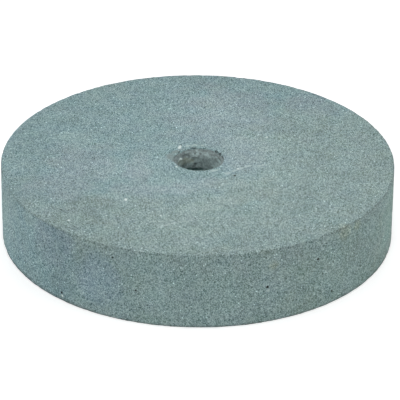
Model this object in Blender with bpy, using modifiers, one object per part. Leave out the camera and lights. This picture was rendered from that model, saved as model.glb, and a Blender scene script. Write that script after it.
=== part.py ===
"""A straight bench grinding wheel of vitrified green silicon carbide, its hole lined with a cast bush.

Metres, +Z up. The wheel lies on one of its two flat faces with the bore upright. The origin is on the
bore's axis, on the face that the wheel lies on.
"""

import math

import bpy

MM = 0.001

# The abrasive wheel
WHEEL_DIAMETER = 200 * MM
WHEEL_WIDTH = 40 * MM
RIM_CORNER_RADIUS = 0.8 * MM
HOLE_CORNER_RADIUS = 0.4 * MM

# The bush lines the wheel's hole down to the size of the spindle. The hole takes its size from it
BORE_DIAMETER = 20 * MM
BUSH_WALL = 2.4 * MM
BUSH_SEAT_GAP = 0.3 * MM
BUSH_RECESS = 0.7 * MM
BUSH_RING_WIDTH = 0.35 * MM
MOUTH_SLOPE = math.radians(47)
BORE_EDGE_RADIUS = 0.6 * MM

# How finely round shapes are divided
TURN_STEPS = 128
CORNER_STEPS = 4
SHARP_EDGE = math.radians(30)
MERGE_DISTANCE = 0.01 * MM

# Colours are linear RGB
ABRASIVE_COLOUR = (0.262, 0.352, 0.352, 1.0)
ABRASIVE_ROUGHNESS = 0.95
BUSH_COLOUR = (0.165, 0.18, 0.17, 1.0)
BUSH_ROUGHNESS = 0.85


def clear_scene():
    """Removes the objects of the startup scene."""
    for obj in list(bpy.data.objects):
        bpy.data.objects.remove(obj)


def make_collection(name):
    """A collection in the scene for the pieces of this object."""
    collection = bpy.data.collections.new(name)
    bpy.context.scene.collection.children.link(collection)
    return collection


def make_material(name, colour, roughness):
    """A plain, non-metallic surface finish for one piece."""
    material = bpy.data.materials.new(name)
    material.use_nodes = True
    shader = material.node_tree.nodes["Principled BSDF"]
    shader.inputs["Base Color"].default_value = colour
    shader.inputs["Roughness"].default_value = roughness
    shader.inputs["Metallic"].default_value = 0.0
    return material


def rounded_corner(x, z, radius, start, end):
    """Points on the arc about (x, z), from one angle to another."""
    angles = [start + (end - start) * step / CORNER_STEPS for step in range(CORNER_STEPS + 1)]
    return [(x + radius * math.cos(a), z + radius * math.sin(a)) for a in angles]


def with_lower_half(upper_half):
    """A profile's upper half, followed by its reflection about the middle of the wheel's width."""
    return upper_half + [(x, WHEEL_WIDTH - z) for x, z in reversed(upper_half)]


def turned(name, profile, material, collection):
    """One turn of a closed profile about Z. The profile runs down its outer side."""
    outline = bpy.data.meshes.new(name + "_profile")
    count = len(profile)
    edges = [(i, (i + 1) % count) for i in range(count)]
    outline.from_pydata([(x, 0, z) for x, z in profile], edges, [])
    obj = bpy.data.objects.new(name, outline)
    collection.objects.link(obj)
    screw = obj.modifiers.new("Turn", "SCREW")
    screw.axis = "Z"
    screw.angle = math.tau
    screw.screw_offset = 0
    screw.steps = TURN_STEPS
    screw.render_steps = TURN_STEPS
    screw.use_merge_vertices = True
    screw.merge_threshold = MERGE_DISTANCE
    evaluated = obj.evaluated_get(bpy.context.evaluated_depsgraph_get())
    mesh = bpy.data.meshes.new_from_object(evaluated)
    obj.modifiers.clear()
    obj.data = mesh
    bpy.data.meshes.remove(outline)
    mesh.name = name
    mesh.materials.append(material)
    mesh.shade_smooth()
    mesh.set_sharp_from_angle(angle=SHARP_EDGE)
    return obj


def add_abrasive_wheel(collection):
    """The moulded disc: two flat faces, a cylindrical grinding rim and a plain round hole."""
    rim = WHEEL_DIAMETER / 2
    hole = BORE_DIAMETER / 2 + BUSH_WALL + BUSH_SEAT_GAP
    hole_mouth = rounded_corner(
        hole + HOLE_CORNER_RADIUS,
        WHEEL_WIDTH - HOLE_CORNER_RADIUS,
        HOLE_CORNER_RADIUS,
        math.pi,
        math.pi / 2,
    )
    rim_corner = rounded_corner(
        rim - RIM_CORNER_RADIUS,
        WHEEL_WIDTH - RIM_CORNER_RADIUS,
        RIM_CORNER_RADIUS,
        math.pi / 2,
        0,
    )
    profile = with_lower_half(hole_mouth + rim_corner)
    material = make_material("vitrified_silicon_carbide", ABRASIVE_COLOUR, ABRASIVE_ROUGHNESS)
    return turned("abrasive_wheel", profile, material, collection)


def add_bore_bush(collection):
    """The cast lining. It ends a little below both faces, and each mouth slopes down to the bore."""
    bore = BORE_DIAMETER / 2
    outside = bore + BUSH_WALL
    top = WHEEL_WIDTH - BUSH_RECESS
    slope_start = outside - BUSH_RING_WIDTH
    # The bore's edge is rounded from the upright wall to where its normal is the sloping mouth's
    slope_normal = math.pi / 2 + MOUTH_SLOPE
    edge_x = bore + BORE_EDGE_RADIUS
    slope_end = edge_x + BORE_EDGE_RADIUS * math.cos(slope_normal)
    mouth_depth = (slope_start - slope_end) * math.tan(MOUTH_SLOPE)
    edge_z = top - mouth_depth - BORE_EDGE_RADIUS * math.sin(slope_normal)
    bore_edge = rounded_corner(edge_x, edge_z, BORE_EDGE_RADIUS, math.pi, slope_normal)
    profile = with_lower_half(bore_edge + [(slope_start, top), (outside, top)])
    material = make_material("cast_bush", BUSH_COLOUR, BUSH_ROUGHNESS)
    return turned("bore_bush", profile, material, collection)


def main():
    clear_scene()
    collection = make_collection("bench_grinding_wheel")
    add_abrasive_wheel(collection)
    add_bore_bush(collection)


main()
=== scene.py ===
"""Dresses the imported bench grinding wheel.

The abrasive wheel and its cast bush each get a finely divided mesh that takes the place of the plain solid,
with grit, pits, chipped edges and casting flaws in its shape. Their finishes are procedural. The stage is a
pale floor under soft studio light. All lengths are in metres.
"""

import math
import random

import bmesh
import bpy
from mathutils import Matrix, Vector, noise


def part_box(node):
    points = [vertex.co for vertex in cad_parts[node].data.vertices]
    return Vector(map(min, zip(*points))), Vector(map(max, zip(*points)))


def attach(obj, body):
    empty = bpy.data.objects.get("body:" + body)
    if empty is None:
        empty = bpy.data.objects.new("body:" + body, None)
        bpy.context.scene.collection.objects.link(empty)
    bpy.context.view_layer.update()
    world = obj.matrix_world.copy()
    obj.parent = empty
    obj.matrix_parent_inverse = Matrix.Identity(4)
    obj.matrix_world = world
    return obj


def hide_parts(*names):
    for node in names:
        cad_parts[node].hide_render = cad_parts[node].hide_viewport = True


bl_info = {
    "name": "Bench Grinding Wheel",
    "version": (1, 0, 0),
    "blender": (4, 5, 0),
    "location": "3D View > Sidebar > Grinding Wheel",
    "description": "Models and finishes a bench grinding wheel with a cast bush, on a plain studio stage",
    "category": "Object",
}

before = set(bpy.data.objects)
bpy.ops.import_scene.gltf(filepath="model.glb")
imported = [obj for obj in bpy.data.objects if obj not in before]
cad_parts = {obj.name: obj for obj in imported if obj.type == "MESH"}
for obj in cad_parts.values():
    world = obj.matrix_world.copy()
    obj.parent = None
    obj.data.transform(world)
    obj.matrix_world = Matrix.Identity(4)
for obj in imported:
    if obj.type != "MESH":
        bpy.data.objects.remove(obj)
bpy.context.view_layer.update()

MM = 0.001

WHEEL_NODE = "abrasive_wheel"
BUSH_NODE = "bore_bush"
BODY = "root"

WHEEL_LOW, WHEEL_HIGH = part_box(WHEEL_NODE)
BUSH_LOW, BUSH_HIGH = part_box(BUSH_NODE)
RIM_RADIUS = (WHEEL_HIGH.x - WHEEL_LOW.x) / 2
WIDTH = WHEEL_HIGH.z - WHEEL_LOW.z
BUSH_RADIUS = (BUSH_HIGH.x - BUSH_LOW.x) / 2

# How far the proudest grains stand out of the stone
GRAIN_REACH = 0.09 * MM


# Settings a user would change


class WheelSettings(bpy.types.PropertyGroup):
    """Shape of the abrasive wheel."""

    seat_gap: bpy.props.FloatProperty(
        name="Seat Gap",
        description="Space between the bush and the wheel's hole",
        default=0.3 * MM,
        unit="LENGTH",
    )
    rim_corner: bpy.props.FloatProperty(
        name="Rim Corner",
        description="How far the corners of the rim are broken",
        default=0.45 * MM,
        unit="LENGTH",
    )
    hole_corner: bpy.props.FloatProperty(
        name="Hole Corner",
        description="How far the corners of the hole are broken",
        default=0.4 * MM,
        unit="LENGTH",
    )
    mesh_step: bpy.props.FloatProperty(
        name="Mesh Step",
        description="Width of the rings that the flat faces are divided into",
        default=1.07 * MM,
        unit="LENGTH",
    )
    grit_relief: bpy.props.FloatProperty(
        name="Grit Relief",
        description="How far single grains stand out of or below the surface",
        default=0.03 * MM,
        unit="LENGTH",
    )
    seed: bpy.props.IntProperty(
        name="Seed",
        description="Starts the random draws of the grit and the small pits",
        default=7,
    )


class BushSettings(bpy.types.PropertyGroup):
    """Shape of the cast bush."""

    bore_diameter: bpy.props.FloatProperty(
        name="Bore Diameter",
        description="Width of the bore between the two mouths",
        default=20 * MM,
        unit="LENGTH",
    )
    ring_width: bpy.props.FloatProperty(
        name="Ring Width",
        description="Flat ring left round each mouth",
        default=0.35 * MM,
        unit="LENGTH",
    )
    mouth_depth: bpy.props.FloatProperty(
        name="Mouth Depth",
        description="How far each mouth slopes down to the bore",
        default=2.3 * MM,
        unit="LENGTH",
    )
    edge_radius: bpy.props.FloatProperty(
        name="Edge Radius",
        description="Rounding where a mouth meets the bore",
        default=0.6 * MM,
        unit="LENGTH",
    )
    lumps: bpy.props.FloatProperty(
        name="Lumps",
        description="Height of the casting's uneven surface",
        default=0.14 * MM,
        unit="LENGTH",
    )


class FinishSettings(bpy.types.PropertyGroup):
    """Colours and grain of both pieces."""

    stone: bpy.props.FloatVectorProperty(
        name="Stone",
        description="Mean colour of the vitrified abrasive",
        default=(0.242, 0.352, 0.355),
        subtype="COLOR",
        min=0,
        max=1,
    )
    cast: bpy.props.FloatVectorProperty(
        name="Cast",
        description="Mean colour of the cast bush",
        default=(0.161, 0.208, 0.208),
        subtype="COLOR",
        min=0,
        max=1,
    )
    grain: bpy.props.FloatProperty(
        name="Grain",
        description="Size of one abrasive grain",
        default=0.3 * MM,
        unit="LENGTH",
    )


class StageSettings(bpy.types.PropertyGroup):
    """Floor, light and camera."""

    lens: bpy.props.FloatProperty(
        name="Lens",
        description="Focal length in millimetres",
        default=248.1,
    )
    distance: bpy.props.FloatProperty(
        name="Distance",
        description="From the camera to the middle of the wheel's upper face",
        default=1.4026,
        unit="LENGTH",
    )
    elevation: bpy.props.FloatProperty(
        name="Elevation",
        description="Height of the camera above the upper face, as an angle",
        default=math.radians(27.29),
        subtype="ANGLE",
    )
    light: bpy.props.FloatProperty(
        name="Light",
        description="Share of their set power that all the lamps give",
        default=1.0,
        subtype="FACTOR",
    )
    ambient: bpy.props.FloatProperty(
        name="Ambient",
        description="Strength of the even light from all round",
        default=0.1,
    )


# Modelling helpers


# What the ends of an edge differ by in height and in radius tells which way it runs
LEVEL = 0.01 * MM
ROUND = 0.02 * MM
SPOKE = 0.1 * MM
UPRIGHT = 0.5 * MM

# Slack in radius when the edges and vertices of an upright wall are told from others
SLACK = 1 * MM
FINE_SLACK = 0.1 * MM

# Past this, a normal's Z shows that its face looks up or down
END_NORMAL = 0.9

# Corners blunter than this are shaded smooth
SMOOTH_ANGLE = math.radians(60)

# How far apart two seeds lie in the noise
NOISE_STEPS = (17.3, 5.9, 11.7)


def deselect_all():
    """Clears the selection, which the loaded frame leaves on its own nodes."""
    if bpy.context.object and bpy.context.object.mode != "OBJECT":
        bpy.ops.object.mode_set(mode="OBJECT")
    bpy.ops.object.select_all(action="DESELECT")


def pick(obj, kind, test):
    """In edit mode, selects just the edges or faces that pass a test."""
    bpy.ops.mesh.select_mode(type=kind)
    bpy.ops.mesh.select_all(action="DESELECT")
    mesh = bmesh.from_edit_mesh(obj.data)
    for item in {"EDGE": mesh.edges, "FACE": mesh.faces}[kind]:
        if test(item):
            item.select_set(True)
    mesh.select_flush_mode()
    bmesh.update_edit_mesh(obj.data)


def divide(obj, kind, test, cuts):
    """Divides the edges or faces that pass a test, by a number of cuts."""
    pick(obj, kind, test)
    bpy.ops.mesh.subdivide(number_cuts=cuts)


def radius_of(vert):
    """A vertex's distance from the bore's axis."""
    return math.hypot(vert.co.x, vert.co.y)


def edge_span(edge):
    """How far an edge rises, and the lesser and the greater radius of its ends."""
    a, b = edge.verts
    inner, outer = sorted((radius_of(a), radius_of(b)))
    return abs(a.co.z - b.co.z), inner, outer


def is_ring_edge(edge, low, high):
    """An edge that runs round the axis, within a range of radii."""
    rise, inner, outer = edge_span(edge)
    return rise < LEVEL and outer - inner < ROUND and low <= inner and outer <= high


def is_spoke_edge(edge, low, high):
    """An edge that runs straight out from the axis on a level face, within a range of radii."""
    rise, inner, outer = edge_span(edge)
    return rise < LEVEL and outer - inner > SPOKE and low <= inner and outer <= high


def is_wall_edge(edge, low, high):
    """An upright edge, within a range of radii."""
    rise, inner, outer = edge_span(edge)
    return rise > UPRIGHT and outer - inner < LEVEL and low <= inner and outer <= high


def smoothstep(value, start, end):
    """0 before start, 1 after end, and a smooth rise between them."""
    t = min(max((value - start) / (end - start), 0), 1)
    return t * t * (3 - 2 * t)


def rough(point, size, seed):
    """Smooth noise from about -1 to 1, with features of the given size."""
    return noise.noise(point / size + Vector([seed * step for step in NOISE_STEPS]))


def turn_from(angle, other):
    """The turn from one angle to another in degrees, from -180 to 180."""
    return (angle - other + 180) % 360 - 180


def start_cylinder(name, segments, radius, low, high):
    """A cylinder from one height to another, left in edit mode with its two ends selected."""
    deselect_all()
    bpy.ops.mesh.primitive_cylinder_add(
        vertices=segments,
        radius=radius,
        depth=high - low,
        end_fill_type="NGON",
        location=(0, 0, (low + high) / 2),
    )
    obj = bpy.context.object
    obj.name = obj.data.name = name
    bpy.ops.object.transform_apply(location=True, rotation=True, scale=True)
    bpy.ops.object.mode_set(mode="EDIT")
    pick(obj, "FACE", lambda face: abs(face.normal.z) > END_NORMAL)
    return obj


def finish_piece(obj, node, material):
    """Closes the modelling of a piece and hands it to the frame in place of its node."""
    bpy.ops.mesh.select_all(action="SELECT")
    bpy.ops.mesh.quads_convert_to_tris()
    bpy.ops.mesh.normals_make_consistent(inside=False)
    deselect_all()
    obj.data.materials.append(material)
    bpy.context.view_layer.objects.active = obj
    obj.select_set(True)
    bpy.ops.object.shade_smooth_by_angle(angle=SMOOTH_ANGLE)
    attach(obj, BODY)
    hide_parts(node)


# Marks that the photograph shows, by their place on the object in millimetres


# Pits in the stone: the middle on the surface, then the radius and the depth
PITS = (
    ((-29.4, -95.6, 18), 0.42, 0.8),
    ((34.2, -94, 19.6), 0.6, 1),
    ((66.4, -74.8, 6.9), 0.55, 0.9),
    ((58.9, -80.8, 28), 0.54, 0.9),
    ((-66.3, -74.8, 4.6), 0.6, 1),
    ((-40.6, -91.4, 33.9), 0.35, 0.5),
    ((-67, -54.8, 40), 0.42, 0.35),
    ((18.8, -16.7, 40), 0.6, 0.6),
)

# Shallow chips round the hole, given as the pits are
CHIPS = (
    ((-14.6, 7.2, 40), 3.2, 0.25),
    ((-13.6, 2.6, 40), 3.4, 0.35),
    ((-12.6, -2.6, 40), 2.4, 0.30),
    ((-5.2, 14, 40), 1.7, 0.60),
    ((-2.8, 14.8, 40), 1.8, 0.70),
    ((-0.4, 15.2, 40), 1.6, 0.60),
    ((8.6, 12.2, 40), 1.6, 0.45),
    ((-8, 12.3, 40), 1.6, 0.45),
    ((8.9, -10.9, 40), 1.2, 0.35),
    ((-10.6, -7.7, 40), 0.9, 0.45),
)

# How far the hole's ends and the bore sit off the middle
UPPER_MOUTH_SHIFT = (0.65, 0.85)
LOWER_MOUTH_SHIFT = (-0.4, 0.5)
BORE_SHIFT = (0.3, 0.2)

# Open stretches of the joint between stone and casting: the middle's angle, half the angle, and the depth
OPEN_JOINTS = (
    (46, 6, 0.6),
    (33, 7, 0.7),
    (12, 14, 0.4),
    (99, 8, 0.3),
    (138, 6, 0.6),
    (176, 8, 0.3),
)

# How the lip between upper mouth and bore strays from a level circle: angle and half angle in degrees, then
# how far it moves outwards and down
LIP_CHANGES = (
    (100, 38, 0, 1.4),
    (20, 30, 1.7, -0.8),
    (167, 25, 0.8, -0.9),
)

# Lumps and hollows of the casting: angle in degrees, height, half width, half height, and how far it stands
# out, or in where negative
CAST_FLAWS = (
    (98, 38.6, 0.9, 0.6, 0.5),
    (106, 37.9, 0.7, 0.5, 0.5),
    (92, 37.8, 0.8, 0.4, 0.3),
    (70, 38, 2.6, 0.6, 0.3),
    (122, 38.7, 2.2, 0.5, 0.4),
    (98, 37.9, 0.6, 0.4, -0.5),
    (82, 37.9, 0.7, 0.4, -0.5),
    (98, 35.9, 1.6, 0.9, -0.9),
    (98, 35.9, 0.7, 0.4, 0.5),
    (121, 37.4, 2, 1.1, -0.6),
    (120, 37.3, 0.9, 0.5, 0.4),
    (150, 37, 1, 0.5, 0.9),
    (97, 32.6, 0.9, 0.9, -0.6),
    (128, 33.2, 1.4, 0.9, -0.2),
    (98, 29.2, 1.4, 0.8, -1),
    (81, 29.4, 1, 0.7, -0.8),
    (135, 31.4, 2.6, 1.2, -0.7),
    (42, 33, 2.4, 1.6, -0.5),
    (42, 33.2, 1.3, 0.8, 0.4),
)


# Depths below the hole's ends between which the ends' own shift fades out
SHIFT_FADE = (0.7 * MM, 2.5 * MM)

# Small pits on the hidden sides: how many there are, the stretch of the rim as shares of half a turn, and
# the ranges of their heights, distances from the axis, radii and depths in millimetres
HIDDEN_RIM_PITS = 9
HIDDEN_FACE_PITS = 5
FAR_SIDE = (0.1, 0.9)
PIT_HEIGHTS = (4, 36)
PIT_DISTANCES = (25, 94)
PIT_RADII = (0.5, 0.9)
RIM_PIT_DEPTHS = (0.5, 1.0)
FACE_PIT_DEPTHS = (0.5, 0.8)


def end_shift(point):
    """How far a point near one end of the hole moves sideways with that end."""
    whole, gone = SHIFT_FADE
    upper = smoothstep(point.z, WIDTH - gone, WIDTH - whole)
    lower = 1 - smoothstep(point.z, whole, gone)
    shift = Vector(UPPER_MOUTH_SHIFT) * upper + Vector(LOWER_MOUTH_SHIFT) * lower
    return shift.to_3d() * MM


def hidden_pits(seed):
    """Small pits on the underside and on the rim's far side, like those on the near side."""
    draw = random.Random(seed)
    pits = []
    for _ in range(HIDDEN_RIM_PITS):
        angle = draw.uniform(*FAR_SIDE) * math.pi
        across = math.cos(angle) * RIM_RADIUS / MM
        along = math.sin(angle) * RIM_RADIUS / MM
        place = (across, along, draw.uniform(*PIT_HEIGHTS))
        pits.append((place, draw.uniform(*PIT_RADII), draw.uniform(*RIM_PIT_DEPTHS)))
    for _ in range(HIDDEN_FACE_PITS):
        angle = draw.uniform(-1, 1) * math.pi
        distance = draw.uniform(*PIT_DISTANCES)
        place = (math.cos(angle) * distance, math.sin(angle) * distance, 0)
        pits.append((place, draw.uniform(*PIT_RADII), draw.uniform(*FACE_PIT_DEPTHS)))
    return tuple(pits)


# The wheel


# Sides of the wheel's blank, and how finely its surface is divided where it needs more
WHEEL_SEGMENTS = 128
FINE_REACH = 7 * MM
PIT_MARGIN = 0.9 * MM
PIT_CUTS = 3

# How far vertices shift along the surface, as shares of their shortest edge
JITTER = 0.3
CORNER_JITTER = 0.1

# Wear of the rim's corners: the deepest, the distances from the corner between which it fades out, and its
# nicks, where noise passes a level: size of the noise, seed and level
CORNER_WEAR = 0.45 * MM
CORNER_FADE = (0.2 * MM, 1.6 * MM)
CORNER_NICKS = ((1.7 * MM, 3, 0.2), (5 * MM, 5, 0.42))

# How ragged the edges of the pits and the chips are, with the size and seed of that noise, and the share
# of a chip's radius that its slope takes
PIT_EDGE = (0.35, 0.5 * MM)
CHIP_EDGE = (0.4, 1.1 * MM)
EDGE_SEED = 9
CHIP_SLOPE = 0.6

# Unevenness of the stone, everywhere and near the hole: height, size and seed
STONE_WAVES = ((0.05 * MM, 2.0 * MM, 1), (0.03 * MM, 14 * MM, 2))
HOLE_WAVES = (0.12 * MM, 1.6 * MM, 4)
HOLE_FADE = (0.5 * MM, 6 * MM)
GRIT_CELL = 0.01 * MM

# The hole's wall stays plain below this depth, because the bush hides it
PLAIN_DEPTH = 2.6 * MM


def from_corner(point, radius):
    """A point's distance from the nearer corner of the rim."""
    return math.hypot(RIM_RADIUS - radius, min(point.z, WIDTH - point.z))


def in_metres(marks):
    """Pits or chips with their places, radii and depths in metres."""
    return [(Vector(place) * MM, radius * MM, depth * MM) for place, radius, depth in marks]


class WheelShape:
    """Moves the wheel's vertices from the plain form to the rough one."""

    def __init__(self, settings, hole, pits):
        self.settings = settings
        self.hole = hole
        self.pits = in_metres(pits)
        self.chips = in_metres(CHIPS)

    def edge_wear(self, point, radius):
        """How far the rim's corners are worn back at a point, beyond their even rounding."""
        reach = 1 - smoothstep(from_corner(point, radius), *CORNER_FADE)
        if reach <= 0:
            return 0
        nicks = sum(max(rough(point, size, seed) - level, 0) for size, seed, level in CORNER_NICKS)
        return reach * CORNER_WEAR * nicks

    def sunk_at(self, point, marks, ragged, size, profile):
        """How far marks sink a point, by a profile of its distance as a share of a mark's radius."""
        sunk = 0
        for centre, radius, depth in marks:
            away = (point - centre).length
            if away < radius * 2:
                edge = radius * (1 + ragged * rough(point, size, EDGE_SEED))
                sunk = max(sunk, depth * profile(away / edge))
        return sunk

    def pit_depth(self, point):
        """How far the pits and chips sink the surface at a point."""
        pit = self.sunk_at(point, self.pits, *PIT_EDGE, lambda t: math.sqrt(max(1 - t**2, 0)))
        chip = self.sunk_at(point, self.chips, *CHIP_EDGE, lambda t: smoothstep(1 - t, 0, CHIP_SLOPE))
        return max(pit, chip)

    def moved(self, vert):
        """Where a vertex goes."""
        point = vert.co.copy()
        radius = radius_of(vert)
        if radius < self.hole + FINE_SLACK and min(point.z, WIDTH - point.z) > PLAIN_DEPTH:
            return point
        grit = self.settings.grit_relief * (noise.cell(point / GRIT_CELL) * 2 - 1)
        waves = sum(height * rough(point, size, seed) for height, size, seed in STONE_WAVES)
        start, end = HOLE_FADE
        near_hole = 1 - smoothstep(radius, self.hole + start, self.hole + end)
        height, size, seed = HOLE_WAVES
        waves += near_hole * height * rough(point, size, seed)
        lift = min(grit + waves, GRAIN_REACH) - self.edge_wear(point, radius) - self.pit_depth(point)
        return point + vert.normal * lift + end_shift(point) * near_hole


def wheel_blank(settings, hole):
    """A cylinder: an inset and a bridge make its hole, and bevels break its corners."""
    obj = start_cylinder("grinding_wheel", WHEEL_SEGMENTS, RIM_RADIUS, WHEEL_LOW.z, WHEEL_HIGH.z)
    bpy.ops.mesh.inset(thickness=(RIM_RADIUS - hole) * math.cos(math.pi / WHEEL_SEGMENTS))
    bpy.ops.mesh.bridge_edge_loops()
    middle = (RIM_RADIUS + hole) / 2
    pick(obj, "EDGE", lambda edge: is_ring_edge(edge, middle, 2 * RIM_RADIUS))
    bpy.ops.mesh.bevel(offset=settings.rim_corner, segments=3, affect="EDGES")
    pick(obj, "EDGE", lambda edge: is_ring_edge(edge, 0, middle))
    bpy.ops.mesh.bevel(offset=settings.hole_corner, segments=2, affect="EDGES")
    return obj


def divide_wheel(obj, settings, hole, pits):
    """Divides the wheel's surface into cells of about a millimetre, finer round the hole and the pits."""
    full_spoke = (RIM_RADIUS - hole) / 2
    rings = round((RIM_RADIUS - hole) / settings.mesh_step)
    rows = round(WIDTH / settings.mesh_step)
    fine = hole + FINE_REACH
    places = in_metres(pits)

    def is_full_spoke(edge):
        return is_spoke_edge(edge, 0, RIM_RADIUS) and edge.calc_length() > full_spoke

    def is_near_pit(face):
        centre = face.calc_center_median()
        return any((centre - place).length < radius + PIT_MARGIN for place, radius, _ in places)

    divide(obj, "EDGE", is_full_spoke, rings - 1)
    divide(obj, "EDGE", lambda edge: is_wall_edge(edge, RIM_RADIUS - SLACK, RIM_RADIUS + SLACK), rows - 1)
    for inner in (RIM_RADIUS / 4, RIM_RADIUS / 2):
        divide(obj, "EDGE", lambda edge: is_ring_edge(edge, inner, 2 * RIM_RADIUS), 1)
    divide(obj, "EDGE", lambda edge: is_ring_edge(edge, 0, fine) or is_spoke_edge(edge, 0, fine), 1)
    divide(obj, "EDGE", lambda edge: is_wall_edge(edge, 0, hole + SLACK), rows - 1)
    divide(obj, "FACE", is_near_pit, PIT_CUTS)


def jitter_wheel(obj, settings, hole):
    """Shifts the vertices a little along the surface, so that the grid doesn't show."""
    mesh = bmesh.from_edit_mesh(obj.data)
    for vert in mesh.verts:
        radius = radius_of(vert)
        if radius < hole + SLACK:
            continue
        near_corner = from_corner(vert.co, radius) < CORNER_FADE[1]
        share = CORNER_JITTER if near_corner else JITTER
        reach = min(edge.calc_length() for edge in vert.link_edges) * share
        shift = noise.random_unit_vector() * min(reach, JITTER * settings.mesh_step)
        shift -= vert.normal * shift.dot(vert.normal)
        vert.co += shift
    bmesh.update_edit_mesh(obj.data)


def shape_wheel(obj, settings, hole, pits):
    """Gives the wheel its grit, worn corners and pits."""
    shape = WheelShape(settings, hole, pits)
    mesh = bmesh.from_edit_mesh(obj.data)
    mesh.normal_update()
    places = [shape.moved(vert) for vert in mesh.verts]
    for vert, place in zip(mesh.verts, places):
        vert.co = place
    bmesh.update_edit_mesh(obj.data)


def make_wheel(settings, finish):
    """The abrasive wheel's mesh and finish."""
    hole = BUSH_RADIUS + settings.seat_gap
    noise.seed_set(settings.seed)
    pits = PITS + hidden_pits(settings.seed)
    obj = wheel_blank(settings, hole)
    divide_wheel(obj, settings, hole, pits)
    jitter_wheel(obj, settings, hole)
    shape_wheel(obj, settings, hole, pits)
    finish_piece(obj, WHEEL_NODE, stone_finish(finish, pits))


# The bush


# Sides of the bush's blank, and the cuts that divide its bore, its outside and its mouths
BUSH_SEGMENTS = 192
BORE_CUTS = 80
OUTSIDE_CUTS = 40
MOUTH_CUTS = 6

# Lengths of the edges across the mouths and rings, which MOUTH_CUTS divides
MOUTH_EDGES = (1 * MM, 5 * MM)

# Heights between which the changes of the upper mouth's lip set in
LIP_RISE = (28 * MM, 36.5 * MM)

# Space that stays between the bush's outside and the stone
SEAT_SPACE = 0.02 * MM

# Distances from the outside between which a point stops moving with the bore and moves with the mouth, and
# the share by which the casting's flaws fade out there
MOUTH_BLEND = (1.9 * MM, 0.4 * MM)
FLAW_FADE = 0.5

# The casting's uneven surface: share of its height, size and seed
CAST_WAVES = ((1.0, 2.6 * MM, 1), (0.6, 1.1 * MM, 2))

# Open joints: how far below the top they start, the distances from the outside between which they drop to
# their full depth, the degrees over which their ends close, and their mean and uneven depth, as shares
JOINT_TOP = 1.2 * MM
JOINT_BAND = (0.9 * MM, 0.2 * MM)
JOINT_ENDS = 3
JOINT_MEAN = 0.7
JOINT_UNEVEN = 0.5
JOINT_NOISE = (0.9 * MM, 6)


def bush_blank(settings):
    """A cylinder with a ring and a sloping mouth inset at each end, bridged through to make the bore."""
    shrink = math.cos(math.pi / BUSH_SEGMENTS)
    bore = settings.bore_diameter / 2
    obj = start_cylinder("cast_bush", BUSH_SEGMENTS, BUSH_RADIUS, BUSH_LOW.z, BUSH_HIGH.z)
    bpy.ops.mesh.inset(thickness=settings.ring_width * shrink)
    bpy.ops.mesh.inset(thickness=(BUSH_RADIUS - settings.ring_width - bore) * shrink)
    for sign in (1, -1):
        pick(obj, "FACE", lambda face: len(face.verts) == BUSH_SEGMENTS and face.normal.z * sign > END_NORMAL)
        bpy.ops.transform.translate(value=(0, 0, -sign * settings.mouth_depth))
    pick(obj, "FACE", lambda face: len(face.verts) == BUSH_SEGMENTS)
    bpy.ops.mesh.bridge_edge_loops()
    pick(obj, "EDGE", lambda edge: is_ring_edge(edge, 0, bore + LEVEL))
    bpy.ops.mesh.bevel(offset=settings.edge_radius, segments=3, affect="EDGES")
    return obj


def divide_bush(obj, settings):
    """Divides the bore, the mouths and the rings into cells of about a third of a millimetre."""
    bore = settings.bore_diameter / 2
    short, long = MOUTH_EDGES

    def is_mouth_edge(edge):
        return not is_ring_edge(edge, 0, RIM_RADIUS) and short < edge.calc_length() < long

    divide(obj, "EDGE", lambda edge: is_wall_edge(edge, 0, bore + FINE_SLACK), BORE_CUTS)
    divide(obj, "EDGE", lambda edge: is_wall_edge(edge, BUSH_RADIUS - FINE_SLACK, RIM_RADIUS), OUTSIDE_CUTS)
    divide(obj, "EDGE", is_mouth_edge, MOUTH_CUTS)


def flaw_height(angle, height, radius):
    """How far the casting's lumps and hollows move its surface, by angle in degrees and height."""
    total = 0
    for at, level, wide, high, proud in CAST_FLAWS:
        along = math.radians(turn_from(angle, at)) * radius / (wide * MM)
        up = (height - level * MM) / (high * MM)
        total += proud * MM * math.exp(-(along * along + up * up))
    return total


def lip_change(settings, angle, height, radius):
    """How far out and down the upper mouth's lip moves the surface near it."""
    out = down = 0
    for at, wide, outward, lower in LIP_CHANGES:
        share = math.exp(-((turn_from(angle, at) / wide) ** 2))
        out += outward * MM * share
        down += lower * MM * share
    rim = BUSH_RADIUS - settings.ring_width
    bore = settings.bore_diameter / 2
    reach = min(max((rim - radius) / (rim - bore), 0), 1) * smoothstep(height, *LIP_RISE)
    return out * reach, down * reach


def joint_depth(angle):
    """How far the joint round the upper mouth is open at an angle in degrees."""
    depth = 0
    for middle, half, deep in OPEN_JOINTS:
        turn = abs(turn_from(angle, middle))
        depth = max(depth, deep * MM * (1 - smoothstep(turn, half - JOINT_ENDS, half + JOINT_ENDS)))
    return depth


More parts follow.
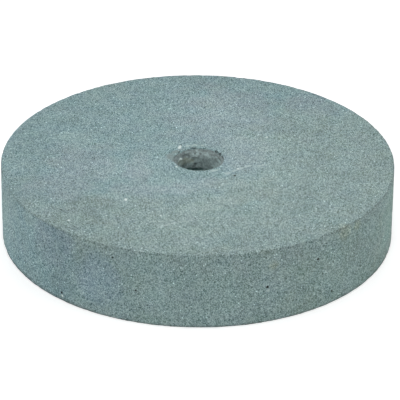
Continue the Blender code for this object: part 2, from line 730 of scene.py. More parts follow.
def bush_shift(vert, settings, fill):
    """How far a vertex of the bush moves from the plain form to the cast one."""
    point = vert.co.copy()
    radius = radius_of(vert)
    angle = math.degrees(math.atan2(point.y, point.x))
    outward = Vector((point.x, point.y, 0)).normalized()
    outer = smoothstep(radius, *(BUSH_RADIUS - inside for inside in MOUTH_BLEND))
    shift = (Vector(BORE_SHIFT).to_3d() * MM).lerp(end_shift(point), outer)
    if radius > BUSH_RADIUS - FINE_SLACK:
        shift += outward * fill
    else:
        out, down = lip_change(settings, angle, point.z, radius)
        shift += outward * out - Vector((0, 0, down))
        lift = settings.lumps * sum(share * rough(point, size, seed) for share, size, seed in CAST_WAVES)
        lift += flaw_height(angle, point.z, radius) * (1 - FLAW_FADE * outer)
        shift += vert.normal * lift
    if point.z > BUSH_HIGH.z - JOINT_TOP:
        drop = joint_depth(angle) * (JOINT_MEAN + JOINT_UNEVEN * rough(point, *JOINT_NOISE))
        shift.z -= drop * smoothstep(radius, *(BUSH_RADIUS - inside for inside in JOINT_BAND))
    return shift


def shape_bush(obj, settings, seat_gap):
    """Gives the casting its uneven wall, its flaws, its off-centre bore and its open joints."""
    mesh = bmesh.from_edit_mesh(obj.data)
    mesh.normal_update()
    for vert in mesh.verts:
        vert.co += bush_shift(vert, settings, seat_gap - SEAT_SPACE)
    bmesh.update_edit_mesh(obj.data)


def make_bush(settings, seat_gap, finish):
    """The cast bush's mesh and finish."""
    obj = bush_blank(settings)
    divide_bush(obj, settings)
    shape_bush(obj, settings, seat_gap)
    finish_piece(obj, BUSH_NODE, cast_finish(finish))


# Finishes


# Colour sockets of a Mix node, whose names its other sockets share
MIX_FACTOR, MIX_A, MIX_B, MIX_RESULT = 0, 6, 7, 2

# How far red and blue drift apart from green, and where blue's own noise lies, in features
HUE_DRIFT = 0.16
BLUE_ASIDE = (7, 3, 0)

BUMP_DEPTH = 0.1 * MM


class Finish:
    """Builds a material's nodes."""

    def __init__(self, name):
        self.material = bpy.data.materials.new(name)
        self.material.use_nodes = True
        self.tree = self.material.node_tree
        self.shader = self.tree.nodes["Principled BSDF"]
        self.place = self.node("ShaderNodeTexCoord").outputs["Object"]

    def node(self, kind, inputs=None, **settings):
        """Adds a node, sets its options and feeds its inputs with numbers or other nodes' outputs."""
        node = self.tree.nodes.new(kind)
        for name, value in settings.items():
            setattr(node, name, value)
        for name, value in (inputs or {}).items():
            self.feed(node.inputs[name], value)
        return node

    def feed(self, socket, value):
        """Sets an input, or links it if the value is another node's output."""
        if isinstance(value, bpy.types.NodeSocket):
            self.tree.links.new(value, socket)
        else:
            socket.default_value = value

    def math(self, operation, a, b=0.0):
        """One sum on two numbers."""
        return self.node("ShaderNodeMath", {0: a, 1: b}, operation=operation).outputs[0]

    def vector(self, operation, a, b):
        """One sum on two vectors or colours."""
        return self.node("ShaderNodeVectorMath", {0: a, 1: b}, operation=operation).outputs[0]

    def scaled(self, a, factor):
        """A vector or colour times a number."""
        return self.node("ShaderNodeVectorMath", {0: a, "Scale": factor}, operation="SCALE").outputs[0]

    def length(self, a):
        """How long a vector is."""
        return self.node("ShaderNodeVectorMath", {0: a}, operation="LENGTH").outputs["Value"]

    def axes(self):
        """The place's X, Y and Z."""
        return self.node("ShaderNodeSeparateXYZ", {0: self.place}).outputs

    def blend(self, factor, a, b, how="MIX"):
        """Mixes two colours."""
        inputs = {MIX_FACTOR: factor, MIX_A: a, MIX_B: b}
        return self.node("ShaderNodeMix", inputs, data_type="RGBA", blend_type=how).outputs[MIX_RESULT]

    def ramp(self, value, low, high, start=0.0, end=1.0):
        """Carries a value from one range to another, smoothly and without overshoot."""
        node = self.node(
            "ShaderNodeMapRange",
            {"Value": value, "From Min": low, "From Max": high, "To Min": start, "To Max": end},
            interpolation_type="SMOOTHSTEP",
        )
        return node.outputs["Result"]

    def relit(self, light, share, factor):
        """A lightness times a factor where the share is 1, and as it was where the share is 0."""
        return self.math("MULTIPLY", light, self.ramp(share, 0, 1, 1, factor))

    def clouds(self, size, detail, roughness=0.5, place=None):
        """Soft noise with features of the given size, from 0 to 1."""
        place = place or self.place
        inputs = {"Vector": place, "Scale": 1 / size, "Detail": detail, "Roughness": roughness}
        return self.node("ShaderNodeTexNoise", inputs).outputs["Fac"]

    def grains(self, size, place):
        """Cells of the given size: a random number in each, and the distance from its middle."""
        node = self.node("ShaderNodeTexVoronoi", {"Vector": place, "Scale": 1 / size})
        parts = self.node("ShaderNodeSeparateColor", {"Color": node.outputs["Color"]})
        return parts.outputs["Red"], node.outputs["Distance"]

    def centred(self, value, reach):
        """A value from 0 to 1, turned to run from minus half to plus half the reach."""
        return self.math("MULTIPLY", self.math("SUBTRACT", value, 0.5), reach)

    def drift(self, size):
        """Factors near 1 for red and for blue, which drift apart from green in soft patches."""
        aside = self.vector("ADD", self.place, [size * step for step in BLUE_ASIDE])
        red, blue = (
            self.math("ADD", 1.0, self.centred(self.clouds(size, detail=3.0, place=place), HUE_DRIFT))
            for place in (self.place, aside)
        )
        return self.node("ShaderNodeCombineXYZ", {0: red, 1: 1.0, 2: blue}).outputs[0]

    def away(self, centre, reach, turn=0):
        """Distance from a mark's middle, as a share of its radius or of its half lengths."""
        if not isinstance(reach, tuple):
            ends = {0: self.place, 1: Vector(centre) * MM}
            gap = self.node("ShaderNodeVectorMath", ends, operation="DISTANCE")
            return self.math("DIVIDE", gap.outputs["Value"], reach * MM)
        inputs = {
            "Vector": self.place,
            "Location": Vector(centre) * MM,
            "Rotation": (0, 0, math.radians(turn)),
            "Scale": Vector(reach) * MM,
        }
        return self.length(self.node("ShaderNodeMapping", inputs, vector_type="TEXTURE").outputs[0])

    def marks(self, marks, wobble, unevenness, edge=0.3):
        """1 inside any of several balls or ellipsoids and 0 outside, with soft and uneven edges.

        A shader has room for about 60 ellipsoids. A ball takes a third of the room of one.
        """
        total = None
        for mark in marks:
            share = self.away(*mark)
            total = share if total is None else self.math("MINIMUM", total, share)
        total = self.math("ADD", total, self.math("MULTIPLY", wobble, unevenness))
        return self.ramp(total, 1 - edge, 1 + edge, 1.0, 0.0)

    def cover(self, colour, covers, wobble):
        """Lays marks of other colours over a colour. Each hides a share of what is under it."""
        for marks, unevenness, edge, hidden, paint in covers:
            share = self.math("MULTIPLY", self.marks(marks, wobble, unevenness, edge), hidden)
            colour = self.blend(share, colour, paint)
        return colour

    def surface(self, colour, roughness, height, strength):
        """Gives the shader its colour, its roughness and bump of the given strength."""
        self.feed(self.shader.inputs["Base Color"], colour)
        self.shader.inputs["Roughness"].default_value = roughness
        bump = self.node("ShaderNodeBump", {"Height": height, "Distance": BUMP_DEPTH, "Strength": strength})
        self.feed(self.shader.inputs["Normal"], bump.outputs["Normal"])
        return self.material


# How the stone's colour changes from a dark grain to a light one
GRAIN_COLOUR = (0.292, 0.352, 0.355)

# The grit is a little finer along X than along Y and Z
GRAIN_STRETCH = (1.2, 0.7, 0.85)

# Widths of the coarser grains, and of the cells that hold a pore or a glint, in grains
COARSE_GRAIN = 1.6
SPOT_CELL = 3.4

# The grains' tone: share of the finest ones, range of the noise, and how far tones reach either way
FINE_SHARE = 0.72
TONE_RANGE = (0.08, 0.92)
GRAIN_CONTRAST = 0.68

# Pores and painted glints: which cells hold one, how wide it is in its cell, and what it does to the tone
PORE_CELLS = (0.12, 0.14)
GLINT_CELLS = (0.92, 0.94)
SPOT_EDGE = (0.2, 0.32)
PORE_TONE = 1.15
GLINT_TONE = 1.7
DARKEST_TONE = -0.97

# How far a grain's side and a pore fall away in the bump
GRAIN_FALL = -0.6
PORE_FALL = 1.5

# The stone's tints, given as shares of its mean colour
COOL_TINT = (0.975, 1.0, 1.025, 1.0)
LILAC_TINT = (1.06, 1.0, 1.045, 1.0)
INDIGO_TINT = (1.0, 0.99, 1.06, 1.0)
OLIVE_TINT = (1.048, 1.0, 0.972, 1.0)
TEAL_TINT = (0.925, 0.965, 1.005, 1.0)
GREEN_TINT = (1.03, 1.0, 0.95, 1.0)
LEAF_TINT = (0.985, 1.01, 0.945, 1.0)
GREY_TINT = (1.07, 1.045, 1.02, 1.0)

# Tints that multiply the colour under them: ochre stains, dust with painted sheen, painted contact shade on
# the rim's lower edge, and painted shade deep in the casting's bore
OCHRE_TINT = (1.12, 1.03, 0.9, 1.0)
DUST_AND_SHEEN_TINT = (1.125, 1.1, 1.085, 1.0)
CONTACT_SHADE_TINT = (0.82, 0.75, 0.75, 1.0)
BORE_SHADE_TINT = (0.3, 0.41, 0.4, 1.0)

# Olive stone lies right of one line and before another, or before a third. Its border is this wide.
OLIVE_RIGHT = 29 * MM
OLIVE_BEFORE = 55 * MM
OLIVE_NEAR = -44 * MM
OLIVE_BORDER = 30 * MM

# Where masks fade: in from the rim, down from the upper face, up from the lower one, and out from the middle
RIM_BAND = (1.1 * MM, 0.2 * MM)
UNDER_FACE = (1.0 * MM, 0.2 * MM)
UPPER_CORNER = (2.0 * MM, 0.8 * MM)
LOWER_EDGE = (0.3 * MM, 1.7 * MM)
CORNER_SIDES = (15 * MM, 45 * MM)

# Soft patches of unlike lightness: size and reach
LIGHT_PATCHES = ((9 * MM, 0.17), (24 * MM, 0.33))

# What darker places leave of the stone's lightness: painted shade on the upper corner towards the sides,
# painted contact shade along the lower edge, smudges, darker patches of the face, painted shadow in the joint
# and painted shade in the pits
CORNER_SHADE = 0.87
CONTACT_SHADE = 0.72
SMUDGE_SHADE = 0.87
FACE_SHADE = 0.92
JOINT_SHADE = 0.25
PIT_SHADE = 0.03

# Sizes of the noise in the stone's olive parts, its patches, its hue, its smears and the edges of its marks
OLIVE_NOISE = 26 * MM
PATCH_NOISE = 12 * MM
HUE_NOISE = 10 * MM
SMEAR_NOISE = 1.4 * MM
EDGE_NOISE = 1.5 * MM

# Casting compound that is smeared on the stone, from its darkest to its palest
SMEAR_DARK = (0.15, 0.2, 0.196, 1.0)
SMEAR_PALE = (0.27, 0.355, 0.35, 1.0)

# Marks on the stone, in millimetres: the middle and the radius, or the middle and the half lengths, and then
# the turn about Z in degrees, if any. One with its middle above the face makes a soft round mark on it.
SCRATCHES = (
    ((15.1, -14.6, 40), (1.7, 1.2, 1.2), 38),
    ((18.7, -12, 40), (1.6, 0.8, 1.2), 38),
    ((21.7, -9.5, 40), (1.9, 0.8, 1.2), 38),
    ((25.5, -6.6, 40), (2.3, 0.9, 1.2), 36),
    ((33, -5.4, 40), (3.2, 0.8, 1.2), 12),
    ((-17.6, -71.2, 40), (1.6, 0.9, 1.2), 32),
    ((-14.6, -69.4, 40), (1.8, 0.7, 1.2), 32),
    ((-11.6, -67.6, 40), (1.5, 0.8, 1.2), 32),
)
# Pale specks, and one painted highlight on the lower lip of a pit at the rim's foot
SPECKS = (
    ((35.8, 26, 40), 0.55),
    ((-62.6, -65.5, 40), 0.75),
    ((-44.5, -60.7, 40), 0.4),
    ((-38.8, -61.2, 40), 0.4),
    ((-35.4, -43.7, 40), (0.8, 1.3, 1)),
    ((-17.9, -60.1, 40), 0.55),
    ((20.4, -9.6, 40), 0.6),
    ((-9.3, 13.9, 40), (0.75, 1.9, 1.6), -12),
    ((-10.6, -7.8, 40), 0.7),
    ((-65.9, -75.2, 2.9), 0.7),
)
# Pale breaks on the lips of the hole and of a pit, partly painted highlight where the rounded edge catches
# the light
LIP_BREAKS_AND_HIGHLIGHTS = (
    ((-2.2, 16.5, 40), (2.1, 0.55, 1.2), 14),
    ((-5.4, 15.5, 40), (1.8, 0.4, 1.2), 16),
    ((2.4, 15.8, 40), (1, 0.5, 1.2), -8),
    ((8.6, -11.6, 40), (2.4, 1, 1), 25),
    ((34.7, -93.8, 17.7), 0.8),
)
OCHRE_STAINS = (
    ((72.5, -69.5, 37), 4.2),
    ((78.5, -62, 36.5), 2.6),
    ((37.4, -92.8, 31.1), 2.3),
)
SMEARS = (
    ((-13.8, 3.4, 40), (2.3, 3.8, 3)),
    ((-12.6, 0.4, 40), (1.2, 2.4, 3)),
    ((-11.6, 8.6, 40), (2.2, 1.6, 3), 45),
    ((-8.2, 12, 40), (2.4, 0.8, 3), 35),
)
FACE_SMUDGES = (
    ((17.6, -20.5, 40), (2.4, 1.6, 1.5)),
    ((-52, -49, 40), (11, 9, 3)),
    ((63, 31, 40), 4),
)
RIM_SMUDGES = (
    ((-66, -75, 30), (19, 12, 13), -40),
    ((-66, -75, 8), (9, 8, 7), -40),
    ((93, -40, 1), (10, 15, 8)),
    ((49, -103, 41), 16),
)
# Lighter patches: dust on the face, and painted sheen near the hole and on the rim's two sides, where it
# turns from view
DUST_AND_SHEEN_PATCHES = (
    ((35, -8, 40), (8, 44, 6)),
    ((24, 8, 40), (9, 22, 6)),
    ((-14, -29, 40), (17, 7, 6)),
    ((-64, 20, 40), (9, 13, 6)),
    ((16, -24, 40), (22, 7, 6), 15),
    ((-18, -62, 40), (6, 16, 6)),
    ((22, -42, 40), (14, 8, 6)),
    ((0, -52, 40), (14, 6, 6)),
    ((10, 62, 40), (7, 22, 6)),
    ((-46, 80, 51), 16),
    ((-32, -14, 52), 16),
    ((-9, -70, 51), 15),
    ((40, -69, 51), 14),
    ((30, 44, 50), 14),
    ((30, -6, 48), 11),
    ((-97, -24, 30), (14, 26, 24)),
    ((97, -20, 20), (14, 26, 30)),
)
FACE_SHADES = (
    ((-90, -28, 51), 18),
    ((86, -12, 56), 25),
    ((45, -39, 52), 18),
    ((-66, -67, 50), 17),
    ((5, 88, 52), 17),
    ((43, 66, 52), 17),
)
LILAC_PATCHES = (
    ((14, 48, 40), (26, 36, 8)),
    ((23, 8, 40), (14, 24, 8)),
    ((-15, -33, 40), (13, 6, 8)),
    ((-18, -57, 40), (11, 8, 8)),
    ((-59, -6, 40), (16, 21, 8)),
    ((-30, -38, 40), (12, 14, 8), 30),
    ((-30, -16, 40), (7, 18, 8)),
    ((5, -29, 44), 10),
    ((-67, -30, 48), 16),
    ((58, 64, 40), (13, 13, 8)),
)
OLIVE_PATCHES = (
    ((31, -30, 40), (18, 13, 8)),
    ((16, -42, 40), (17, 9, 8)),
)
INDIGO_PATCHES = (
    ((-47, -88, 19), 12.5),
    ((-71, -70.5, 30), 13),
)
TEAL_PATCHES = (
    ((-84, -62, 14), (38, 42, 25)),
)
GREY_PATCHES = (
    ((-18, -98, 16), (56, 22, 23)),
)
GREEN_PATCHES = (
    ((88, -42, 16), (34, 44, 23)),
    ((62, -78, 14), (30, 24, 18)),
)
LEAF_PATCHES = (
    ((97, -26, 22), (10, 15, 15)),
)

# Patches of unlike tint on the rim, laid over each other in this order
RIM_PATCHES = (
    (TEAL_PATCHES, TEAL_TINT),
    (GREY_PATCHES, GREY_TINT),
    (INDIGO_PATCHES, INDIGO_TINT),
    (GREEN_PATCHES, GREEN_TINT),
    (LEAF_PATCHES, LEAF_TINT),
)

# Painted contact shadow on the rim's lower edge, darkest along this stretch
LOWER_EDGE_SHADOWS = (
    ((-80, -62, 0.4), (36, 46, 1.9)),
)

# Painted shadow in the open places of the joint round the hole, on the stone and on the casting
JOINT_SHADOWS = (
    ((9.6, 10, 39.4), (0.7, 1.2, 0.8), 45),
    ((11.3, 7.7, 39.3), (0.65, 1.3, 0.8), 30),
    ((12.8, 4, 39.2), (0.3, 2.2, 0.5), 15),
    ((-2.6, 13.5, 39.6), (0.4, 2.1, 0.5), 99),
    ((-9.8, 8.7, 39.9), 0.7),
    ((-7.4, 11.4, 39.4), (0.4, 0.9, 0.5), 125),
)

# Marks on the casting
CAST_STAINS = (
    ((-6.7, 7.6, 34.9), (3.2, 3.2, 1.8)),
    ((-3.8, 9.5, 34.2), (2.2, 1.8, 1.3)),
    ((-9.2, 4.8, 35.9), (1.6, 2.4, 1.4)),
)
# Painted light where lumps and walls of the bore catch the light
CAST_PAINTED_LIGHTS = (
    ((-5.3, 10.7, 38.7), (2.2, 0.9, 0.4), 30),
    ((-3.3, 9.6, 33.5), (0.9, 0.9, 0.6), 20),
    ((0.7, 11.7, 38.1), (1, 1, 0.65)),
    ((-5.6, 9.3, 36.7), (0.4, 0.7, 0.25), 30),
    ((-2.5, 10.9, 37.8), (0.7, 0.8, 0.6)),
    ((-0.5, 12.2, 38.7), (0.5, 0.7, 0.8)),
    ((-0.2, 11.2, 37.7), (0.8, 0.7, 0.35)),
    ((3.4, 11.1, 38), (2.4, 1, 0.6), -20),
    ((11.2, 4.6, 36.6), (0.8, 3, 0.8), 20),
    ((9.6, 7.1, 38), (1, 0.7, 0.3), -50),
    ((7.9, 7.7, 32.4), (2, 1, 0.6), -45),
    ((10.2, 5.2, 33.4), (1.2, 2.6, 1.8), 25),
    ((-8.6, 5.8, 34.6), (1.7, 2, 1.3)),
    ((-5.2, 8.8, 32.9), (2.4, 1.7, 1.2)),
    ((0.7, 10.3, 32.1), (1, 1.2, 0.9)),
)
# Painted shade in the casting's voids and hollows
CAST_PAINTED_SHADE = (
    ((-6.4, 8.8, 36.7), (3.2, 1.7, 1.5), 30),
    ((-1.4, 11, 37.8), (0.5, 0.6, 0.35)),
    ((1.5, 11.2, 37.6), (0.8, 0.6, 0.35)),
    ((-7.4, 8, 37.4), (1.2, 1.2, 0.9), 40),
    ((-1.8, 10.3, 35.8), (1.7, 1, 0.5)),
    ((-1.4, 10.3, 32.2), (0.8, 0.9, 0.8)),
    ((-6.2, 8.8, 32.4), (0.6, 0.8, 0.4)),
    ((-2, 10.3, 31.1), (1.1, 1.2, 0.5)),
)
# Painted shade deep down in the bore, where the near lip keeps the light out
DEEP_BORE_SHADOWS = (
    ((-1.6, 10.9, 28.9), (3.4, 1.4, 0.9)),
    ((1.6, 10.9, 29.1), (1.5, 1.3, 0.7)),
    ((-4.6, 9.4, 30), (2.4, 1.3, 0.7), 25),
)
# Painted highlights on lumps of the casting that catch the light
LUMP_HIGHLIGHTS = (
    ((-8.6, 4.9, 37.5), (1, 1.1, 0.6)),
    ((-9.7, 4, 37), (0.5, 0.9, 0.45)),
)

# Marks that cover the stone, and those that cover the casting: the marks, how uneven and how soft their
# edges are, the share that they hide, and their colour
STONE_COVERS = (
    (SCRATCHES, 1.4, 0.5, 0.6, (0.47, 0.59, 0.595, 1.0)),
    (LIP_BREAKS_AND_HIGHLIGHTS, 1.2, 0.5, 0.8, (0.46, 0.58, 0.57, 1.0)),
    (SPECKS, 0.5, 0.3, 0.9, (0.7, 0.8, 0.78, 1.0)),
)
CAST_COVERS = (
    (CAST_STAINS, 0.7, 0.3, 0.45, (0.26, 0.29, 0.21, 1.0)),
    (LUMP_HIGHLIGHTS, 0.5, 0.3, 0.9, (0.66, 0.78, 0.75, 1.0)),
)

# Painted light and shade that change the casting's lightness: the marks, how uneven their edges are, and the
# factor
CAST_SHADES = (
    (CAST_PAINTED_LIGHTS, 0.6, 1.45),
    (CAST_PAINTED_SHADE, 0.6, 0.5),
    (JOINT_SHADOWS, 0.5, 0.35),
)

# The casting's mottle and specks: size, range of the noise and the factors that it turns into
MOTTLE_SIZE = 2.2 * MM
MOTTLE = (0.25, 0.75, 0.7, 1.3)
SPECK_SIZE = 0.8 * MM
SPECKLE = (0.3, 0.7, 0.8, 1.2)
CAST_EDGE_NOISE = 0.9 * MM
CAST_GRIT = 0.5 * MM

# The bore's wall is lighter than the mouths by a factor, between heights that fade in and out
WALL_LIGHT = 1.72
WALL_BOTTOM = (1.5 * MM, 3.0 * MM)
WALL_TOP = (37.0 * MM, 38.5 * MM)

# Pits whose middles are this near the rim run inwards, and the others up or down
RIM_PITS = 3 * MM


def pit_shade_marks(pits):
    """The pits as round marks of painted shade, each as wide as its pit at the surface and as deep as its
    bottom.
    """
    marks = []
    for (x, y, z), radius, depth in pits:
        sink = depth / 2
        if math.hypot(x, y) * MM > RIM_RADIUS - RIM_PITS:
            inward = -Vector((x, y, 0)).normalized()
        else:
            inward = Vector((0, 0, -1 if z > 0 else 1))
        marks.append((Vector((x, y, z)) + inward * sink, math.hypot(radius, sink)))
    return tuple(marks)


def tinted(colour, tint):
    """A colour multiplied by a tint."""
    return tuple(a * b for a, b in zip((*colour, 1.0), tint))


def stone_hue(made, stone, patchy, outer, rim):
    """The stone's colour before its grains: patches of unlike tint, dust with painted sheen, and painted
    contact shade on the lower edge.
    """
    x, y, z = made.axes()
    right = made.math("DIVIDE", made.math("SUBTRACT", x, OLIVE_RIGHT), OLIVE_BORDER)
    before = made.math("DIVIDE", made.math("SUBTRACT", OLIVE_BEFORE, y), OLIVE_BORDER)
    near = made.math("DIVIDE", made.math("SUBTRACT", OLIVE_NEAR, y), OLIVE_BORDER)
    region = made.math("MAXIMUM", made.math("MINIMUM", right, before), near)
    drift = made.math("ADD", region, made.centred(made.clouds(OLIVE_NOISE, detail=4.0), 2.0))
    lilac = made.marks(LILAC_PATCHES, patchy, 1.0, edge=0.4)
    hue = made.blend(lilac, tinted(stone, COOL_TINT), tinted(stone, LILAC_TINT))
    olive = made.marks(OLIVE_PATCHES, patchy, 1.0, edge=0.4)
    olive = made.math("MAXIMUM", made.ramp(drift, -0.4, 0.4), olive)
    hue = made.blend(olive, hue, tinted(stone, OLIVE_TINT))
    for patches, tint in RIM_PATCHES:
        patch = made.math("MULTIPLY", made.marks(patches, patchy, 0.6), rim)
        hue = made.blend(patch, hue, tinted(stone, tint))
    # Dust and painted sheen lighten the colour
    hue = made.blend(made.marks(DUST_AND_SHEEN_PATCHES, patchy, 0.8, edge=0.4), hue, DUST_AND_SHEEN_TINT, "MULTIPLY")
    # Painted contact shade, dark and warm, along the rim's lower edge
    edge = made.math("MULTIPLY", made.ramp(z, *LOWER_EDGE, 1, 0), outer)
    hue = made.blend(edge, hue, CONTACT_SHADE_TINT, "MULTIPLY")
    return made.vector("MULTIPLY", hue, made.drift(HUE_NOISE))


def stone_grain(made, size):
    """The grains' tone, from dark to light, and their height for the bump."""
    place = made.vector("MULTIPLY", made.place, GRAIN_STRETCH)
    fine, from_middle = made.grains(size, place)
    coarse, _ = made.grains(size * COARSE_GRAIN, place)
    coarse = made.math("MULTIPLY", coarse, 1 - FINE_SHARE)
    tone = made.math("ADD", made.math("MULTIPLY", fine, FINE_SHARE), coarse)
    tone = made.ramp(tone, *TONE_RANGE, -GRAIN_CONTRAST, GRAIN_CONTRAST)
    choice, from_spot = made.grains(size * SPOT_CELL, place)
    spot = made.ramp(from_spot, *SPOT_EDGE, 1, 0)
    pore = made.math("MULTIPLY", made.ramp(choice, *PORE_CELLS, 1, 0), spot)
    glint = made.math("MULTIPLY", made.ramp(choice, *GLINT_CELLS), spot)
    tone = made.math("SUBTRACT", tone, made.math("MULTIPLY", pore, PORE_TONE))
    tone = made.math("MAXIMUM", tone, DARKEST_TONE)
    tone = made.math("ADD", tone, made.math("MULTIPLY", glint, GLINT_TONE))
    height = made.math("ADD", fine, made.math("MULTIPLY", from_middle, GRAIN_FALL))
    return tone, made.math("SUBTRACT", height, made.math("MULTIPLY", pore, PORE_FALL))


def stone_light(made, pits, patchy, wobble, outer, rim):
    """How light the stone is: soft patches, and then its darker places, painted shade among them."""
    x, _, z = made.axes()
    light = 1.0
    for size, reach in LIGHT_PATCHES:
        light = made.math("ADD", light, made.centred(made.clouds(size, detail=3.0), reach))
    # Painted shade on the upper corner, growing towards the sides
    corner = made.math("MULTIPLY", outer, made.ramp(z, *(WIDTH - depth for depth in UPPER_CORNER)))
    aside = made.ramp(made.math("ABSOLUTE", x), *CORNER_SIDES)
    smudge = made.math("MULTIPLY", made.marks(RIM_SMUDGES, wobble, 0.8, edge=0.4), rim)
    shades = (
        (made.math("MULTIPLY", corner, aside), CORNER_SHADE),
        (made.math("MULTIPLY", made.marks(LOWER_EDGE_SHADOWS, wobble, 0.3), outer), CONTACT_SHADE),
        (made.math("MAXIMUM", made.marks(FACE_SMUDGES, wobble, 0.8), smudge), SMUDGE_SHADE),
        (made.marks(FACE_SHADES, patchy, 0.6, edge=0.4), FACE_SHADE),
        (made.marks(JOINT_SHADOWS, wobble, 0.5), JOINT_SHADE),
        (made.marks(pit_shade_marks(pits), wobble, 0.3), PIT_SHADE),
    )
    for share, factor in shades:
        light = made.relit(light, share, factor)
    return light


def stone_finish(finish, pits):
    """Green silicon carbide: fine grains of unlike tone in a paler bond, with pores, stains and scratches."""
    made = Finish("vitrified_silicon_carbide")
    patchy = made.centred(made.clouds(PATCH_NOISE, detail=4.0), 2.0)
    wobble = made.centred(made.clouds(EDGE_NOISE, detail=3.0), 1.0)
    from_axis = made.length(made.vector("MULTIPLY", made.place, (1, 1, 0)))
    outer = made.ramp(from_axis, *(RIM_RADIUS - inside for inside in RIM_BAND))
    z = made.axes()[2]
    below_face = made.ramp(z, *(WIDTH - depth for depth in UNDER_FACE), 1, 0)
    rim = made.math("MULTIPLY", below_face, outer)
    hue = stone_hue(made, finish.stone, patchy, outer, rim)
    tone, height = stone_grain(made, finish.grain)
    hue = made.vector("ADD", hue, made.scaled(GRAIN_COLOUR, tone))
    colour = made.scaled(hue, stone_light(made, pits, patchy, wobble, outer, rim))
    colour = made.blend(made.marks(OCHRE_STAINS, wobble, 1.2, edge=0.6), colour, OCHRE_TINT, "MULTIPLY")
    smear = made.blend(made.clouds(SMEAR_NOISE, detail=4.0, roughness=0.6), SMEAR_DARK, SMEAR_PALE)
    colour = made.cover(colour, ((SMEARS, 0.9, 0.4, 0.85, smear), *STONE_COVERS), wobble)
    return made.surface(colour, roughness=0.85, height=height, strength=0.8)


def cast_finish(finish):
    """Grey casting compound: mottled, with voids, paler lips and a brown stain, and with painted light on its
    lumps and walls and painted shade in its voids and deep in the bore.
    """
    made = Finish("cast_bush")
    mottle = made.ramp(made.clouds(MOTTLE_SIZE, detail=4.0, roughness=0.6), *MOTTLE)
    specks = made.ramp(made.clouds(SPECK_SIZE, detail=2.0, roughness=0.6), *SPECKLE)
    light = made.math("MULTIPLY", mottle, specks)
    z = made.axes()[2]
    wall = made.math("MULTIPLY", made.ramp(z, *WALL_BOTTOM), made.ramp(z, *WALL_TOP, 1, 0))
    light = made.relit(light, wall, WALL_LIGHT)
    wobble = made.centred(made.clouds(CAST_EDGE_NOISE, detail=3.0), 1.0)
    for marks, unevenness, factor in CAST_SHADES:
        light = made.relit(light, made.marks(marks, wobble, unevenness), factor)
    colour = made.scaled(tuple(finish.cast), light)
    # Painted shade deep in the bore
    colour = made.blend(made.marks(DEEP_BORE_SHADOWS, wobble, 0.5), colour, BORE_SHADE_TINT, "MULTIPLY")
    colour = made.cover(colour, CAST_COVERS, wobble)
    return made.surface(colour, roughness=0.8, height=made.clouds(CAST_GRIT, detail=3.0), strength=0.5)


# The stage


WHITE = (1.0, 1.0, 1.0, 1.0)
FLOOR_SIZE = 30
FLOOR_COLOUR = (0.8, 0.8, 0.8, 1.0)

# The floor glows to the camera, less near the wheel, where its shadow shows, than far off: the two
# strengths, and the distances in metres between which one turns into the other
FLOOR_GLOW = (0.65, 1.0)
GLOW_DISTANCES = (1.0, 3.0)


def shown_white(tree):
    """1 where a ray from the camera, a reflection or a see-through surface meets the backdrop."""
    path = tree.nodes.new("ShaderNodeLightPath")
    total = path.outputs["Is Camera Ray"]
    for name in ("Is Glossy Ray", "Is Transmission Ray"):
        either = tree.nodes.new("ShaderNodeMath")
        either.operation = "MAXIMUM"
        tree.links.new(total, either.inputs[0])
        tree.links.new(path.outputs[name], either.inputs[1])
        total = either.outputs[0]
    return total


def make_floor():
    """A wide white floor that shows white to the camera and keeps the wheel's soft shadow."""
    deselect_all()
    bpy.ops.mesh.primitive_plane_add(size=FLOOR_SIZE, location=(0, 0, WHEEL_LOW.z - GRAIN_REACH))
    floor = bpy.context.object
    floor.name = floor.data.name = "floor"
    made = Finish("studio_floor")
    near, far = GLOW_DISTANCES
    weak, full = FLOOR_GLOW
    glow = made.node(
        "ShaderNodeMapRange",
        {"Value": made.length(made.place), "From Min": near, "From Max": far, "To Min": weak, "To Max": full},
    )
    inputs = {
        "Base Color": FLOOR_COLOUR,
        "Roughness": 1.0,
        "Specular IOR Level": 0.0,
        "Emission Color": WHITE,
        "Emission Strength": made.math("MULTIPLY", shown_white(made.tree), glow.outputs["Result"]),
    }
    for name, value in inputs.items():
        made.feed(made.shader.inputs[name], value)
    floor.data.materials.append(made.material)


def make_world(ambient):
    """Even light from all round, shown as white behind the wheel."""
    scene = bpy.context.scene
    scene.world = bpy.data.worlds.new("studio")
    scene.world.use_nodes = True
    tree = scene.world.node_tree
    background = tree.nodes["Background"]
    background.inputs["Color"].default_value = WHITE
    strength = tree.nodes.new("ShaderNodeMapRange")
    tree.links.new(shown_white(tree), strength.inputs["Value"])
    strength.inputs["To Min"].default_value = ambient
    strength.inputs["To Max"].default_value = 1.0
    tree.links.new(strength.outputs["Result"], background.inputs["Strength"])


def make_lamp(name, power, size, place, target):
    """A square area light at a place, turned towards a target. The camera doesn't see it."""
    data = bpy.data.lights.new(name, "AREA")
    data.energy = power
    data.size = size
    lamp = bpy.data.objects.new(name, data)
    bpy.context.scene.collection.objects.link(lamp)
    lamp.location = place
    lamp.rotation_euler = (Vector(place) - Vector(target)).to_track_quat("Z", "Y").to_euler()
    lamp.visible_camera = False


# How far the camera turns from looking straight at the upper face's middle, in degrees
CAMERA_YAW = -0.0547
CAMERA_PITCH = -0.8387
CAMERA_ROLL = 0.484


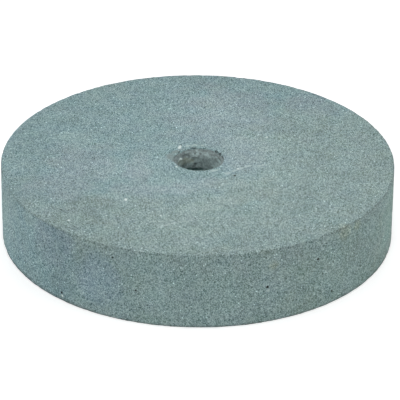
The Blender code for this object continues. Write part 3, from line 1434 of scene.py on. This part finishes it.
def make_camera(settings):
    """The camera, aimed as the photograph was taken."""
    data = bpy.data.cameras.new("camera")
    data.lens = settings.lens
    data.sensor_width = 36
    data.clip_start = 0.01
    data.clip_end = 100
    camera = bpy.data.objects.new("camera", data)
    bpy.context.scene.collection.objects.link(camera)
    up = settings.elevation
    back = Vector((0, -math.cos(up), math.sin(up)))
    look = Matrix(((1, 0, 0), (0, math.sin(up), -math.cos(up)), (0, math.cos(up), math.sin(up))))
    yaw = Matrix.Rotation(math.radians(CAMERA_YAW), 3, "Y")
    pitch = Matrix.Rotation(math.radians(CAMERA_PITCH), 3, "X")
    roll = Matrix.Rotation(math.radians(CAMERA_ROLL), 3, "Z")
    turn = (look @ yaw @ pitch @ roll).to_4x4()
    camera.matrix_world = Matrix.Translation(Vector((0, 0, WHEEL_HIGH.z)) + back * settings.distance) @ turn
    bpy.context.scene.camera = camera


# Soft lamps, all aimed at the middle of the upper face: power in watts, size and place in metres
LAMPS = {
    "front_lamp": (11.7, 1.0, (-0.2, -1.8, 0.9)),
    "left_lamp": (10.1, 0.8, (-1.9, -0.6, 0.4)),
    "right_lamp": (11.1, 0.8, (1.9, -0.55, 0.4)),
    "back_lamp": (9.8, 1.0, (0, 1.8, 1.0)),
    "back_left_lamp": (4.0, 0.9, (-1.7, 0.5, 0.6)),
    "overhead_lamp": (0.345, 0.2, (0.015, -0.01, 0.28)),
}


def make_stage(settings):
    """Floor, world, lamps and camera."""
    make_floor()
    make_world(settings.ambient)
    for name, (power, size, place) in LAMPS.items():
        make_lamp(name, power * settings.light, size, place, (0, 0, WIDTH))
    make_camera(settings)
    view = bpy.context.scene.view_settings
    view.view_transform = "Standard"


# Operators and panel


class GRINDWHEEL_OT_wheel(bpy.types.Operator):
    """Model the abrasive wheel and put it in place of its plain solid"""

    bl_idname = "grindwheel.wheel"
    bl_label = "Abrasive Wheel"

    def execute(self, context):
        make_wheel(context.scene.grindwheel_wheel, context.scene.grindwheel_finish)
        return {"FINISHED"}


class GRINDWHEEL_OT_bush(bpy.types.Operator):
    """Model the cast bush and put it in place of its plain solid"""

    bl_idname = "grindwheel.bush"
    bl_label = "Cast Bush"

    def execute(self, context):
        scene = context.scene
        make_bush(scene.grindwheel_bush, scene.grindwheel_wheel.seat_gap, scene.grindwheel_finish)
        return {"FINISHED"}


class GRINDWHEEL_OT_stage(bpy.types.Operator):
    """Set up the floor, the lamps and the camera"""

    bl_idname = "grindwheel.stage"
    bl_label = "Studio Stage"

    def execute(self, context):
        make_stage(context.scene.grindwheel_stage)
        return {"FINISHED"}


class GRINDWHEEL_PT_panel(bpy.types.Panel):
    """Lists the steps that dress the grinding wheel"""

    bl_idname = "GRINDWHEEL_PT_panel"
    bl_label = "Grinding Wheel"
    bl_space_type = "VIEW_3D"
    bl_region_type = "UI"
    bl_category = "Grinding Wheel"

    def draw(self, context):
        for operator in OPERATORS:
            self.layout.operator(operator.bl_idname)


SETTINGS = {
    "grindwheel_wheel": WheelSettings,
    "grindwheel_bush": BushSettings,
    "grindwheel_finish": FinishSettings,
    "grindwheel_stage": StageSettings,
}
OPERATORS = (GRINDWHEEL_OT_wheel, GRINDWHEEL_OT_bush, GRINDWHEEL_OT_stage)
CLASSES = (*SETTINGS.values(), *OPERATORS, GRINDWHEEL_PT_panel)


def register():
    """Registers the classes and gives the scene their settings."""
    for entry in CLASSES:
        bpy.utils.register_class(entry)
    for name, group in SETTINGS.items():
        setattr(bpy.types.Scene, name, bpy.props.PointerProperty(type=group))


def unregister():
    """Takes back what register did."""
    for name in SETTINGS:
        delattr(bpy.types.Scene, name)
    for entry in reversed(CLASSES):
        bpy.utils.unregister_class(entry)


def main():
    register()
    bpy.ops.grindwheel.wheel()
    bpy.ops.grindwheel.bush()
    bpy.ops.grindwheel.stage()


if __name__ == "__main__":
    main()
